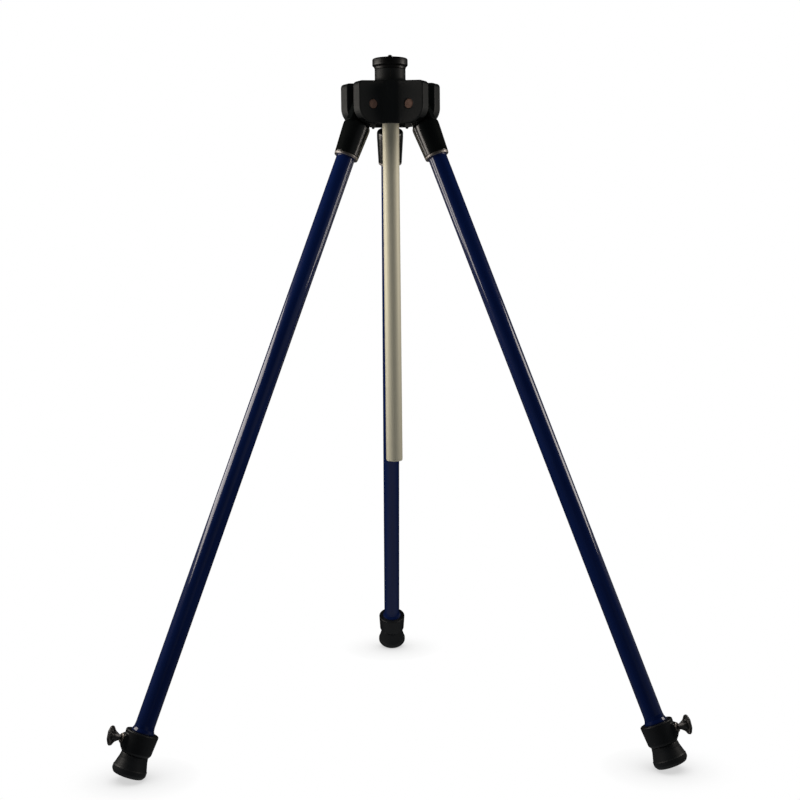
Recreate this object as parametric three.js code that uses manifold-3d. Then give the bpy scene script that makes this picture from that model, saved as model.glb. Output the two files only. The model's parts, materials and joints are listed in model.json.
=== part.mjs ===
// Collapsible three-leg instrument tripod with an elevating centre column.
// Units are millimetres and +Z is up. The origin is the centre of the flat tip
// of the instrument stud, on the vertical axis of the column. The legs stand at
// azimuths 210 (left), 330 (right) and 90 degrees (rear), open against their stops.
import * as THREE from 'three';
import { mergeVertices } from 'three/addons/utils/BufferGeometryUtils.js';
import Module from 'manifold-3d';

const wasm = await Module();
wasm.setup();

const radians = THREE.MathUtils.degToRad;

// ---------------------------------------------------------------- dimensions
const FACETS = 24;              // facets on every large round piece
const SMALL_FACETS = 12;        // facets on screws, pins, washers and inserts
const OVERCUT = 5;              // how far cutting shapes run past the material

// Clearances
const SLIDE_FIT = 0.2;          // round the centre column
const CLOSE_FIT = 0.25;         // round pins, plugs and screws
const LOOSE_FIT = 0.3;          // round tubes and the stud, and between end faces
const END_GAP = 0.4;            // beyond the ends of the outer tube and collar

// Stud and platform
const STUD_R = 3.175;           // 1/4 in camera stud
const STUD_OUT = 5.2;           // stud above the platform
const STUD_IN = 12.5;           // stud inside the platform
const STUD_END = -STUD_OUT - STUD_IN;
const STUD_CHAMFER = 0.7;
const PLATFORM_R = 24.1;
const PLATFORM_RIM = 9.0;       // from the platform top to the foot of its rim
const SPIGOT_END = -37;         // plug of the platform inside the column

// Head casting
const NECK_R = 21.1;
const NECK_TOP = -19.9;
const NECK_FLARE = 1.6;         // extra radius at the root of the neck
const NECK_SINK = 4;            // neck sunk into the hub
const HUB_TOP = -38.6;
const HUB_BOTTOM = -95.2;
const HUB_BORE = 14.7;          // radius
const VALLEY = 35.0;            // axis to the flats between the clevises
const VALLEY_HALF = 10.2;       // half width of those flats
const EAR_END = 63.0;           // axis to the end of the clevis ears
const EAR_HALF = 25.5;          // leg plane to the outer face of an ear
const EAR_TOP_ARC = 4.5;        // upper outer corner of an ear
const EAR_ARC = 21.5;           // lower outer corner of an ear
const EAR_FALL = 1.9;           // fall of the ear tops towards their ends
const EAR_FALL_START = 28;      // axis to the start of that fall
const SLOT_HALF = 8.4;          // leg plane to the inner face of an ear
const SLOT_FLOOR = 24.0;        // axis to the floor of the clevis slot
const POCKET_NEAR = 11.6;       // leg plane to the near side of a cheek pocket
const POCKET_FAR = 22.0;        // leg plane to the far side of a cheek pocket
const POCKET_START = 24.6;      // axis to the start of a cheek pocket
const RECESS_R = 31.3;          // hollow underside round the column
const RECESS_TOP = -89.3;
const CLEVIS_AZIMUTHS = [90, 210, 330];
const VALLEY_AZIMUTHS = [30, 150, 270];

// Pivot pins
const PIN_RADIAL = 41.6;
const PIN_Z = -70.37;
const PIN_R = 4.0;
const PIN_HEAD_R = 6.2;
const PIN_HEAD_SUNK = 0.4;      // ear face to the outer face of a pin head
const COUNTERBORE_DEPTH = 3.4;
const COUNTERBORE_R = PIN_HEAD_R + 0.4;
const WASHER_R = 9.5;
const WASHER_HALF = 0.5;        // half thickness
const WASHER_OFFSET = 0.75;     // tongue face to the middle of a washer

// Centre column
const COLUMN_R = 11.4;
const COLUMN_BORE = 9.9;
const COLUMN_TOP = -14.6;
const COLUMN_END = -556.4;
const PLUG_END = -558.9;
const PLUG_DEPTH = 12;          // plug inside the column
const BUSH_R = 14.4;
const UPPER_BUSH_END = -47;
const LOWER_BUSH_TOP = -72;
const BUSH_FLANGE = 3.0;        // extra radius of the lower flange
const BUSH_FLANGE_END = 1.8;    // recess top to the underside of that flange

// Legs: lengths are distances down a leg from its pivot pin
const SPLAY = radians(22.8);    // leg to vertical, legs open
const TONGUE_HALF = 6.9;
const TONGUE_R = 15.5;
const TONGUE_SINK = 6;          // tongue sunk into the barrel
const BARREL_TOP = 27.3;
const BARREL_END = 73.0;
const FERRULE_TOP = BARREL_END + LOOSE_FIT;
const FERRULE_END = 76.5;
const TUBE_R = 12.7;            // 25.4 mm leg tube
const TUBE_BORE = 11.45;
const TUBE_TOP = 34.3;
const TUBE_END = 897.0;
const INNER_R = 10.8;
const INNER_BORE = 9.5;
const INNER_TOP = 60.0;
const INNER_END = 926.0;
const GUIDE_DEPTH = 12;         // guide cap inside the inner tube
const GUIDE_RISE = 4.2;         // guide cap above the inner tube
const GUIDE_GAP = 0.2;          // between the guide cap's rim and the tube end
const COLLAR_TOP = 876.6;
const COLLAR_END = 905.0;
const COLLAR_SHOULDER = TUBE_END + END_GAP;
const BOSS_FACE = 25.0;         // leg axis to the face of the collar's boss
const BOSS_HALF = 6.8;          // half width of the boss
const FOOT_TOP = COLLAR_END + END_GAP;
const FOOT_END = 933.2;

// Clamp screws: distances out from the axis of the clamped tube
const SCREW_R = 2.95;           // M6 wing screw
const SCREW_START = 3.5;        // clamped surface to the inner end of the screw
const WING_SEAT = 1.6;          // boss face to the datum of the wing head
const WING_HALF = 2.1;          // half thickness of the wings
const CLAMP_BORE_R = 5.5;
const TUBE_HOLE_R = 3.7;        // screw hole in the outer tube
const CLAMP_BORE_START = 5;
const INSERT_R = 5.2;
const COLUMN_INSERT_START = 19;
const LEG_INSERT_START = 13.8;
const PAD_R = 2.8;
const PAD_THICKNESS = 2.9;
const LEG_CLAMP = 889.3;        // clamp screw down the leg
const COLUMN_CLAMP_Z = -62.0;
const COLUMN_CLAMP_AZIMUTH = 30;

// Azimuth of each leg, and the turn of its wing screw from the line of the leg.
const LEGS = [
  { side: 'left', azimuth: 210, wingTurn: 21.8 },
  { side: 'right', azimuth: 330, wingTurn: -18.8 },
  { side: 'rear', azimuth: 90, wingTurn: 40 },
];

// Lower half of the wing outline: [outwards from the wing seat, across the screw].
const WING_OUTLINE = [
  [3.0, 0], [4.2, -4.0], [8.4, -7.4], [11.6, -11.4], [13.4, -12.5],
  [15.4, -11.6], [17.4, -7.6], [18.1, -3.4], [18.1, 0],
];

// Outline of the collar's boss: [out from the leg axis, up the leg from the screw].
const BOSS_OUTLINE = [
  [17, 6.6], [23.6, 6.2], [BOSS_FACE, 4.8], [BOSS_FACE, -4.4],
  [24.0, -6.6], [20.6, -12.2], [17, -12.6],
];

// ---------------------------------------------------------------- materials
const BLACK = { color: 0x1b1c1c, roughness: 0.42, metalness: 0.0 };
const NAVY = { color: 0x0a1240, roughness: 0.18, metalness: 0.2 };
const SATIN = { color: 0xcfc6a8, roughness: 0.35, metalness: 0.9 };
const SILVER = { color: 0xb9bbbb, roughness: 0.3, metalness: 0.95 };
const BRONZE = { color: 0x6b4a3c, roughness: 0.45, metalness: 0.85 };
const RUBBER = { color: 0x161616, roughness: 0.8, metalness: 0.0 };
const STEEL = { color: 0x3a3b3c, roughness: 0.4, metalness: 0.8 };
const LIGHT = { color: 0xd5cdc4, roughness: 0.3, metalness: 0.7 };
const NYLON = { color: 0xd9d6cc, roughness: 0.6, metalness: 0.0 };

// ---------------------------------------------------------------- helpers
// Welds a closed surface, drops collapsed triangles and turns the faces outwards.
function weld(geometry) {
  for (const key of Object.keys(geometry.attributes)) {
    if (key !== 'position') geometry.deleteAttribute(key);
  }
  const welded = mergeVertices(geometry, 1e-4);
  const corners = welded.index.array;
  const kept = [];
  let volume = 0;
  for (let i = 0; i < corners.length; i += 3) {
    const triangle = [corners[i], corners[i + 1], corners[i + 2]];
    if (new Set(triangle).size < 3) continue;
    kept.push(...triangle);
    const [a, b, c] = triangle.map((corner) =>
      new THREE.Vector3().fromBufferAttribute(welded.attributes.position, corner));
    volume += a.dot(b.cross(c)) / 6;
  }
  if (volume < 0) {
    for (let i = 0; i < kept.length; i += 3) [kept[i], kept[i + 1]] = [kept[i + 1], kept[i]];
  }
  welded.setIndex(kept);
  return welded;
}

// Body of revolution about +Z from [radius, height] pairs.
// A profile that does not start and end on the axis is closed into a ring.
function turned(profile, facets = FACETS) {
  const points = profile.map(([radius, z]) => new THREE.Vector2(radius, z));
  if (points[0].x > 1e-9 || points.at(-1).x > 1e-9) points.push(points[0].clone());
  return weld(new THREE.LatheGeometry(points, facets).rotateX(Math.PI / 2));
}

const sleeve = (bore, radius, from, to, facets) =>
  turned([[bore, from], [radius, from], [radius, to], [bore, to]], facets);
const rod = (radius, from, to, facets) => sleeve(0, radius, from, to, facets);

// Prism from a closed polygon in the XZ plane, between two values of Y.
function slab(polygon, yFrom, yTo) {
  const shape = new THREE.Shape(polygon.map(([x, z]) => new THREE.Vector2(x, z)));
  const prism = new THREE.ExtrudeGeometry(shape, { depth: yTo - yFrom, bevelEnabled: false });
  prism.rotateX(Math.PI / 2);   // x, z kept; depth runs towards -Y
  return weld(prism.translate(0, yTo, 0));
}

const box = (xFrom, xTo, zTop, zBottom, yFrom, yTo) =>
  slab([[xFrom, zTop], [xTo, zTop], [xTo, zBottom], [xFrom, zBottom]], yFrom, yTo);

const alongX = (geometry) => geometry.rotateY(Math.PI / 2);    // +Z axis becomes +X
const alongY = (geometry) => geometry.rotateX(-Math.PI / 2);   // +Z axis becomes +Y

function arc(centreX, centreZ, radius, from, to, steps) {
  return Array.from({ length: steps + 1 }, (_, i) => {
    const angle = radians(from + (to - from) * i / steps);
    return [centreX + radius * Math.cos(angle), centreZ + radius * Math.sin(angle)];
  });
}

function solid(geometry) {
  const welded = weld(geometry);
  return new wasm.Manifold(new wasm.Mesh({
    numProp: 3,
    vertProperties: new Float32Array(welded.attributes.position.array),
    triVerts: new Uint32Array(welded.index.array),
  }));
}

// Joins the first list of geometries, then cuts the second from the result.
function carve(parts, cutters) {
  const joined = parts.map(solid).reduce((body, part) => body.add(part));
  const { vertProperties, triVerts } = cutters.map(solid)
    .reduce((body, cutter) => body.subtract(cutter), joined).getMesh();
  const geometry = new THREE.BufferGeometry();
  const positions = new THREE.BufferAttribute(new Float32Array(vertProperties), 3);
  geometry.setAttribute('position', positions);
  geometry.setIndex(Array.from(triVerts));
  return weld(geometry);
}

function addMesh(parent, name, geometry, finish) {
  geometry.computeVertexNormals();
  const mesh = new THREE.Mesh(geometry, new THREE.MeshStandardMaterial(finish));
  mesh.name = name;
  parent.add(mesh);
}

function addGroup(parent) {
  const group = new THREE.Group();
  parent.add(group);
  return group;
}

// ---------------------------------------------------------------- clamp parts
// Local +X runs outwards along the screw, zero on the axis of the clamped tube.
const clampBore = (radius, face) =>
  alongX(rod(radius, CLAMP_BORE_START, face + OVERCUT, SMALL_FACETS));

function wingScrew(clampedR, face) {
  const seat = face + WING_SEAT;
  const start = clampedR + SCREW_START;
  const shank = alongX(turned([
    [0, start], [SCREW_R, start], [SCREW_R, seat + 1.2], [3.7, seat + 1.8],
    [5.0, seat + 10.5], [4.4, seat + 14.0], [0, seat + 14.0],
  ], SMALL_FACETS));
  const lower = WING_OUTLINE.map(([x, z]) => [seat + x, z]);
  const upper = lower.slice(1, -1).reverse().map(([x, z]) => [x, -z]);
  return carve([shank, slab([...lower, ...upper], -WING_HALF, WING_HALF)], []);
}

// Threaded insert with a flange over the boss face.
function clampInsert(start, face) {
  const bore = SCREW_R + CLOSE_FIT;
  const flange = face + LOOSE_FIT;
  return alongX(turned([
    [bore, start], [INSERT_R, start], [INSERT_R, flange],
    [6.3, flange], [6.0, face + 1.5], [bore, face + 1.5],
  ], SMALL_FACETS));
}

function clampPad(clampedR) {
  const start = clampedR + LOOSE_FIT;
  return alongX(rod(PAD_R, start, start + PAD_THICKNESS, SMALL_FACETS));
}

// ---------------------------------------------------------------- head casting
// One clevis block: top falling slightly outwards, rounded upper outer corner,
// wide lower corner.
function clevisBlock() {
  return slab([
    [0, HUB_TOP], [EAR_FALL_START, HUB_TOP],
    ...arc(EAR_END - EAR_TOP_ARC, HUB_TOP - EAR_FALL - EAR_TOP_ARC, EAR_TOP_ARC, 90, 0, 3),
    ...arc(EAR_END - EAR_ARC, HUB_BOTTOM + EAR_ARC, EAR_ARC, 0, -90, 6),
    [0, HUB_BOTTOM],
  ], -EAR_HALF, EAR_HALF);
}

// Six-sided core whose three short sides are the flats between the clevises.
function hubCore() {
  const corners = VALLEY_AZIMUTHS.flatMap((azimuth) => {
    const cos = Math.cos(radians(azimuth));
    const sin = Math.sin(radians(azimuth));
    return [-VALLEY_HALF, VALLEY_HALF].map((across) =>
      new THREE.Vector2(VALLEY * cos - across * sin, VALLEY * sin + across * cos));
  });
  const depth = HUB_TOP - HUB_BOTTOM;
  return new THREE.ExtrudeGeometry(new THREE.Shape(corners), { depth, bevelEnabled: false })
    .translate(0, 0, HUB_BOTTOM);
}

// Neck under the platform, with a flared root.
function neck() {
  const rootR = NECK_R + NECK_FLARE;
  return turned([
    [0, HUB_TOP - NECK_SINK], [rootR, HUB_TOP - NECK_SINK], [rootR, HUB_TOP],
    [NECK_R, HUB_TOP + 2.0], [NECK_R, NECK_TOP], [0, NECK_TOP],
  ]);
}

// Slot, pin hole and the counterbores that take the pin heads, for a clevis on +X.
function clevisCuts() {
  const crossBore = (radius, from, to) =>
    alongY(rod(radius, from, to, SMALL_FACETS)).translate(PIN_RADIAL, 0, PIN_Z);
  const outside = EAR_HALF + OVERCUT;
  return [
    box(SLOT_FLOOR, EAR_END + OVERCUT, HUB_TOP + OVERCUT, HUB_BOTTOM - OVERCUT,
      -SLOT_HALF, SLOT_HALF),
    crossBore(PIN_R + CLOSE_FIT, -outside, outside),
    ...[-1, 1].map((side) => crossBore(
      COUNTERBORE_R, side * (EAR_HALF - COUNTERBORE_DEPTH), side * outside)),
  ];
}

// Pockets under the two cheeks of a clevis on +X.
function cheekPockets() {
  return [[-POCKET_FAR, -POCKET_NEAR], [POCKET_NEAR, POCKET_FAR]].map(([yFrom, yTo]) =>
    box(POCKET_START, EAR_END + OVERCUT, RECESS_TOP, HUB_BOTTOM - OVERCUT, yFrom, yTo));
}

function headCasting() {
  const atClevises = (makeShapes) => CLEVIS_AZIMUTHS.flatMap((azimuth) =>
    makeShapes().map((shape) => shape.rotateZ(radians(azimuth))));
  const underside = HUB_BOTTOM - OVERCUT;
  return carve(
    [hubCore(), ...atClevises(() => [clevisBlock()]), neck()],
    [
      ...atClevises(clevisCuts),
      ...atClevises(cheekPockets),
      rod(RECESS_R, underside, RECESS_TOP),
      rod(HUB_BORE, underside, NECK_TOP + OVERCUT),
      clampBore(CLAMP_BORE_R, VALLEY).translate(0, 0, COLUMN_CLAMP_Z)
        .rotateZ(radians(COLUMN_CLAMP_AZIMUTH)),
    ],
  );
}

// ---------------------------------------------------------------- centre column
function upperBushing() {
  return sleeve(COLUMN_R + SLIDE_FIT, BUSH_R, UPPER_BUSH_END, NECK_TOP - LOOSE_FIT);
}

function lowerBushing() {
  const bore = COLUMN_R + SLIDE_FIT;
  const flangeR = BUSH_R + BUSH_FLANGE;
  const flangeEnd = RECESS_TOP - BUSH_FLANGE_END;
  const flangeTop = RECESS_TOP - LOOSE_FIT;
  return turned([
    [bore, flangeEnd], [flangeR, flangeEnd], [flangeR, flangeTop],
    [BUSH_R, flangeTop], [BUSH_R, LOWER_BUSH_TOP], [bore, LOWER_BUSH_TOP],
  ]);
}

// Platform with a stud hole, a socket over the column and a spigot inside it.
function platform() {
  const holeR = STUD_R + LOOSE_FIT;
  const holeEnd = STUD_END - LOOSE_FIT;
  const socketR = COLUMN_R + SLIDE_FIT;
  const socketTop = COLUMN_TOP + LOOSE_FIT;
  const spigotR = COLUMN_BORE - CLOSE_FIT;
  const underside = NECK_TOP + 0.5;
  return turned([
    [0, holeEnd], [holeR, holeEnd], [holeR, -STUD_OUT], [PLATFORM_R - 1.4, -STUD_OUT],
    [PLATFORM_R, -STUD_OUT - 1.2], [PLATFORM_R, -STUD_OUT - PLATFORM_RIM],
    [NECK_R, underside], [socketR, underside], [socketR, socketTop],
    [spigotR, socketTop], [spigotR, SPIGOT_END], [0, SPIGOT_END],
  ]);
}

function instrumentStud() {
  const endR = STUD_R - STUD_CHAMFER;
  return turned([
    [0, STUD_END], [endR, STUD_END], [STUD_R, STUD_END + STUD_CHAMFER],
    [STUD_R, -STUD_CHAMFER], [endR, 0], [0, 0],
  ], SMALL_FACETS);
}

function columnEndPlug() {
  const rim = COLUMN_END - 0.1;
  const plugR = COLUMN_BORE - CLOSE_FIT;
  return turned([
    [0, PLUG_END], [COLUMN_R - 0.8, PLUG_END], [COLUMN_R - 0.2, rim],
    [plugR, rim], [plugR, COLUMN_END + PLUG_DEPTH], [0, COLUMN_END + PLUG_DEPTH],
  ]);
}

// ---------------------------------------------------------------- leg parts
// In a leg group the origin is on the pivot pin, +Z runs up the leg towards the
// pin, +Y is the pin axis and +X points outwards and up.
function pivotPin() {
  const end = EAR_HALF - PIN_HEAD_SUNK;
  const headSeat = EAR_HALF - COUNTERBORE_DEPTH + LOOSE_FIT;
  return alongY(turned([
    [0, -end], [PIN_HEAD_R, -end], [PIN_HEAD_R, -headSeat], [PIN_R, -headSeat],
    [PIN_R, headSeat], [PIN_HEAD_R, headSeat], [PIN_HEAD_R, end], [0, end],
  ], SMALL_FACETS));
}

function pivotWasher(y) {
  const washer = sleeve(PIN_R + LOOSE_FIT, WASHER_R, -WASHER_HALF, WASHER_HALF, SMALL_FACETS);
  return alongY(washer).translate(0, y, 0);
}

// Tongue on the pivot pin above a barrel that holds the outer tube.
function knuckle() {
  const tongueEnd = -BARREL_TOP - TONGUE_SINK;
  const holeEnd = TONGUE_HALF + OVERCUT;
  const tongue = slab([
    ...arc(0, 0, TONGUE_R, 0, 180, 8), [-TONGUE_R, tongueEnd], [TONGUE_R, tongueEnd],
  ], -TONGUE_HALF, TONGUE_HALF);
  const barrel = turned([
    [0, -BARREL_TOP], [16.4, -BARREL_TOP], [18.6, -BARREL_TOP - 3.5],
    [18.5, -40], [16.7, -BARREL_END], [0, -BARREL_END],
  ]);
  return carve([tongue, barrel], [
    rod(TUBE_R + LOOSE_FIT, -TUBE_TOP + END_GAP, -BARREL_END - OVERCUT),
    alongY(rod(PIN_R + CLOSE_FIT, -holeEnd, holeEnd, SMALL_FACETS)),
  ]);
}

function ferrule() {
  const bore = TUBE_R + LOOSE_FIT;
  return turned([
    [bore, -FERRULE_END], [16.4, -FERRULE_END], [16.8, -FERRULE_TOP], [bore, -FERRULE_TOP],
  ]);
}

// The tube swells into a small bell where it seats on the clamp collar.
function outerTube() {
  const bellEnd = -COLLAR_TOP + LOOSE_FIT;
  const tube = turned([
    [TUBE_BORE, -TUBE_END], [TUBE_R, -TUBE_END], [TUBE_R, bellEnd],
    [TUBE_R + 2.5, bellEnd], [TUBE_R + 2.1, -COLLAR_TOP + 1.8],
    [TUBE_R + 0.7, -COLLAR_TOP + 4.8], [TUBE_R, -COLLAR_TOP + 9],
    [TUBE_R, -TUBE_TOP], [TUBE_BORE, -TUBE_TOP],
  ]);
  return carve([tube], [clampBore(TUBE_HOLE_R, TUBE_R).translate(0, 0, -LEG_CLAMP)]);
}

// Stepped collar with a tapered boss that carries the clamp screw.
function clampCollar() {
  const outerBore = TUBE_R + LOOSE_FIT;
  const innerBore = INNER_R + LOOSE_FIT;
  const body = turned([
    [outerBore, -COLLAR_TOP], [20.8, -COLLAR_TOP], [21.6, -COLLAR_TOP - 0.8],
    [20.2, -901.9], [18.0, -COLLAR_END], [innerBore, -COLLAR_END],
    [innerBore, -COLLAR_SHOULDER], [outerBore, -COLLAR_SHOULDER],
  ]);
  const boss = slab(BOSS_OUTLINE.map(([x, z]) => [x, z - LEG_CLAMP]), -BOSS_HALF, BOSS_HALF);
  const bore = turned([
    [0, -COLLAR_TOP + 2], [outerBore, -COLLAR_TOP + 2], [outerBore, -COLLAR_SHOULDER],
    [innerBore, -COLLAR_SHOULDER], [innerBore, -COLLAR_END - 2], [0, -COLLAR_END - 2],
  ]);
  const hole = clampBore(CLAMP_BORE_R, BOSS_FACE).translate(0, 0, -LEG_CLAMP);
  return carve([body, boss], [bore, hole]);
}

// Cap on the upper end of the inner tube, sliding in the outer tube.
function guideCap() {
  const plugR = INNER_BORE - CLOSE_FIT;
  const rimR = TUBE_BORE - CLOSE_FIT;
  const rimEnd = -INNER_TOP + GUIDE_GAP;
  return turned([
    [0, -INNER_TOP - GUIDE_DEPTH], [plugR, -INNER_TOP - GUIDE_DEPTH], [plugR, rimEnd],
    [rimR, rimEnd], [rimR, -INNER_TOP + GUIDE_RISE], [0, -INNER_TOP + GUIDE_RISE],
  ]);
}

function foot() {
  const socketR = INNER_R + CLOSE_FIT;
  const socketEnd = -INNER_END - LOOSE_FIT;
  return turned([
    [0, -FOOT_END], [17.2, -FOOT_END], [20.6, -FOOT_END + 1.3], [22.3, -FOOT_END + 5.6],
    [22.3, -FOOT_END + 9.8], [18.2, -FOOT_TOP - 4.6], [17.4, -FOOT_TOP],
    [socketR, -FOOT_TOP], [socketR, socketEnd], [0, socketEnd],
  ]);
}

// ---------------------------------------------------------------- assembly
function addHeadAndColumn(parent) {
  addMesh(parent, 'head_casting', headCasting(), BLACK);
  addMesh(parent, 'column_bushing_upper', upperBushing(), NYLON);
  addMesh(parent, 'column_bushing_lower', lowerBushing(), BLACK);
  addMesh(parent, 'platform', platform(), BLACK);
  addMesh(parent, 'instrument_stud', instrumentStud(), STEEL);
  const tube = sleeve(COLUMN_BORE, COLUMN_R, COLUMN_END, COLUMN_TOP);
  addMesh(parent, 'centre_column', tube, SATIN);
  addMesh(parent, 'column_end_plug', columnEndPlug(), SATIN);
}

function addColumnClamp(parent) {
  const clamp = addGroup(parent);
  clamp.position.z = COLUMN_CLAMP_Z;
  clamp.rotation.z = radians(COLUMN_CLAMP_AZIMUTH);
  addMesh(clamp, 'column_clamp_insert', clampInsert(COLUMN_INSERT_START, VALLEY), LIGHT);
  addMesh(clamp, 'column_clamp_pad', clampPad(COLUMN_R), NYLON);
  addMesh(clamp, 'column_wing_screw', wingScrew(COLUMN_R, VALLEY), STEEL);
}

function addLegClamp(leg, side, wingTurn) {
  const clamp = addGroup(leg);
  clamp.position.z = -LEG_CLAMP;
  addMesh(clamp, `clamp_insert_${side}`, clampInsert(LEG_INSERT_START, BOSS_FACE), LIGHT);
  addMesh(clamp, `clamp_pad_${side}`, clampPad(INNER_R), NYLON);
  const screw = addGroup(clamp);
  screw.rotation.x = radians(wingTurn);
  addMesh(screw, `wing_screw_${side}`, wingScrew(INNER_R, BOSS_FACE), STEEL);
}

function addLeg(parent, { side, azimuth, wingTurn }) {
  const bearing = addGroup(parent);
  bearing.rotation.z = radians(azimuth);
  const pivot = addGroup(bearing);
  pivot.position.set(PIN_RADIAL, 0, PIN_Z);
  const washerY = TONGUE_HALF + WASHER_OFFSET;
  addMesh(pivot, `pivot_pin_${side}`, pivotPin(), BRONZE);
  addMesh(pivot, `pivot_washer_${side}_a`, pivotWasher(washerY), NYLON);
  addMesh(pivot, `pivot_washer_${side}_b`, pivotWasher(-washerY), NYLON);

  const leg = addGroup(pivot);
  leg.rotation.y = -SPLAY;
  addMesh(leg, `knuckle_${side}`, knuckle(), BLACK);
  addMesh(leg, `leg_ferrule_${side}`, ferrule(), LIGHT);
  addMesh(leg, `outer_tube_${side}`, outerTube(), NAVY);
  addMesh(leg, `clamp_collar_${side}`, clampCollar(), BLACK);
  addMesh(leg, `guide_cap_${side}`, guideCap(), NYLON);
  const innerTube = sleeve(INNER_BORE, INNER_R, -INNER_END, -INNER_TOP);
  addMesh(leg, `inner_tube_${side}`, innerTube, SILVER);
  addMesh(leg, `foot_${side}`, foot(), RUBBER);
  addLegClamp(leg, side, wingTurn);
}

const tripod = new THREE.Group();
tripod.name = 'tripod';
addHeadAndColumn(tripod);
addColumnClamp(tripod);
for (const leg of LEGS) addLeg(tripod, leg);

export default tripod;
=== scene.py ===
# Collapsible three-leg instrument tripod: skins, materials and stage around its CAD frame.
# +Z runs up the centre column and the tip of the instrument stud is at z = 0. The left leg
# reaches towards -X -Y, the right leg towards +X -Y and the rear leg towards +Y.
# Shapes are described in mm and built in metres.
import json
import math
from itertools import product

import bpy
import numpy as np
from mathutils import Matrix, Vector


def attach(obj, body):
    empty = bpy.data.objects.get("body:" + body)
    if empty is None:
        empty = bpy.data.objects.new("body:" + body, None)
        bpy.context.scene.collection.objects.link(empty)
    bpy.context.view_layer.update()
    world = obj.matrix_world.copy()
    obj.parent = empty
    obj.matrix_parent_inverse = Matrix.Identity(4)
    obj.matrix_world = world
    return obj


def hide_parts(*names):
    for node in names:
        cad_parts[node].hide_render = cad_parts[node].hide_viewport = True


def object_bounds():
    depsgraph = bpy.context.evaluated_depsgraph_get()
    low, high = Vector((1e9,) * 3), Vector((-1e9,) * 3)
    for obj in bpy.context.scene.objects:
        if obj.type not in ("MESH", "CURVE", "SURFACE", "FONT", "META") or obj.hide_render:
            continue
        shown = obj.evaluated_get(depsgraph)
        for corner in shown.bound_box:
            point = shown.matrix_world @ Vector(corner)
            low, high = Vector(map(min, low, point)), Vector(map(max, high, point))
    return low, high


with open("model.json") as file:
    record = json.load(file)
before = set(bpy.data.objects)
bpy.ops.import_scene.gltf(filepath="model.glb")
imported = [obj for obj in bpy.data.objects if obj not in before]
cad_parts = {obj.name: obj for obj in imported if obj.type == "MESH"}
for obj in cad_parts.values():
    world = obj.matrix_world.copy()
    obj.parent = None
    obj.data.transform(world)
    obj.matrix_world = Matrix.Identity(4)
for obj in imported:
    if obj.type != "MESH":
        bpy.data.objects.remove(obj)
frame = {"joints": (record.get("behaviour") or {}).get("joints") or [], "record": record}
CAD_BOUNDS = [list(map(float, corner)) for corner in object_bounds()]
RECORD = frame["record"]
JOINTS = {joint["name"]: joint for joint in frame["joints"]}
SLOT_OF = {part["node"]: part["material_slot"] for part in RECORD["subparts"]}
BODY_OF = {node: body for body, nodes in RECORD["behaviour"]["bodies"].items() for node in nodes}

# ------------------------------------------------------------------ driving sizes
MM = 0.001
LEG_SPLAY = math.radians(22.8)
LEG_AZIMUTH = {"left": 210.0, "right": 330.0, "rear": 90.0}   # degrees from +X
WING_TURN = {"left": 21.8, "right": -18.8, "rear": 40.0}      # degrees about the screw axis

HUB_TOP, HUB_BOTTOM = -38.6, -95.2
NECK_TOP, NECK_BOTTOM = -19.65, -45.0
CORE_FLAT = 35.0            # axis to the flats between the clevises
EAR_END = 63.6
EAR_HALF = 25.6             # half width across a clevis
SLOT_HALF = 8.4             # half width of the slot that takes a knuckle
RECESS_TOP = -89.3          # ceiling of the hollow underside
PIN_RADIAL, PIN_Z = 41.6, -70.37
PIN_HOLE_R = 4.25

COLUMN_R, COLUMN_BORE_R = 11.4, 9.9
BUSHING_R, BUSHING_BORE_R = 14.4, 11.6
COLUMN_CLAMP_Z = -62.0
COLUMN_CLAMP_AZIMUTH = math.radians(30)

# Along a leg z is measured from the pivot, negative towards the foot.
TONGUE_R, TONGUE_HALF = 15.5, 6.9
SOCKET_R = 13.0             # bore that takes the outer tube
TUBE_R, TUBE_BORE_R = 12.7, 11.45
INNER_R, INNER_BORE_R = 10.8, 9.5
LEG_CLAMP_Z = -889.3
BOSS_FACE = 25.0            # tube axis to the face of the clamp boss

CLAMP_HOLE_R = 5.5
PAD_GAP = 0.3               # clearance at each end of a clamp pad
PAD_END = 3.2               # tube surface to the outer end of the pad


# ------------------------------------------------------------------ turned meshes
def smooth_mesh(name, verts, faces, sharp_degrees):
    mesh = bpy.data.meshes.new(name)
    mesh.from_pydata(verts, [], faces)
    mesh.validate()
    mesh.update()
    mesh.shade_smooth()
    mesh.set_sharp_from_angle(angle=math.radians(sharp_degrees))
    return mesh


def rounded(points, arc_steps):
    """Open outline of (x, y, fillet radius) -> (x, y) points; the end points stay sharp."""
    outline = []
    for i, (x, y, radius) in enumerate(points):
        if radius <= 0 or i in (0, len(points) - 1):
            outline.append((x, y))
            continue
        before, corner, after = (np.array(points[j][:2], float) for j in (i - 1, i, i + 1))
        back, ahead = before - corner, after - corner
        back_length, ahead_length = np.linalg.norm(back), np.linalg.norm(ahead)
        back, ahead = back / back_length, ahead / ahead_length
        half = math.acos(float(np.clip(back @ ahead, -1, 1))) / 2
        if half > math.pi / 2 - 0.02:     # all but straight
            outline.append(tuple(corner))
            continue
        # The fillet may use up to 0.48 of either neighbouring side.
        tangent = min(radius / math.tan(half), back_length * 0.48, ahead_length * 0.48)
        fitted = tangent * math.tan(half)
        bisector = (back + ahead) / np.linalg.norm(back + ahead)
        centre = corner + bisector * (fitted / math.sin(half))
        start = corner + back * tangent - centre
        end = corner + ahead * tangent - centre
        start_angle = math.atan2(start[1], start[0])
        sweep = math.atan2(end[1], end[0]) - start_angle
        sweep = (sweep + math.pi) % (2 * math.pi) - math.pi
        for k in range(arc_steps + 1):
            angle = start_angle + sweep * k / arc_steps
            outline.append((centre[0] + fitted * math.cos(angle),
                            centre[1] + fitted * math.sin(angle)))
    return outline


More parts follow.
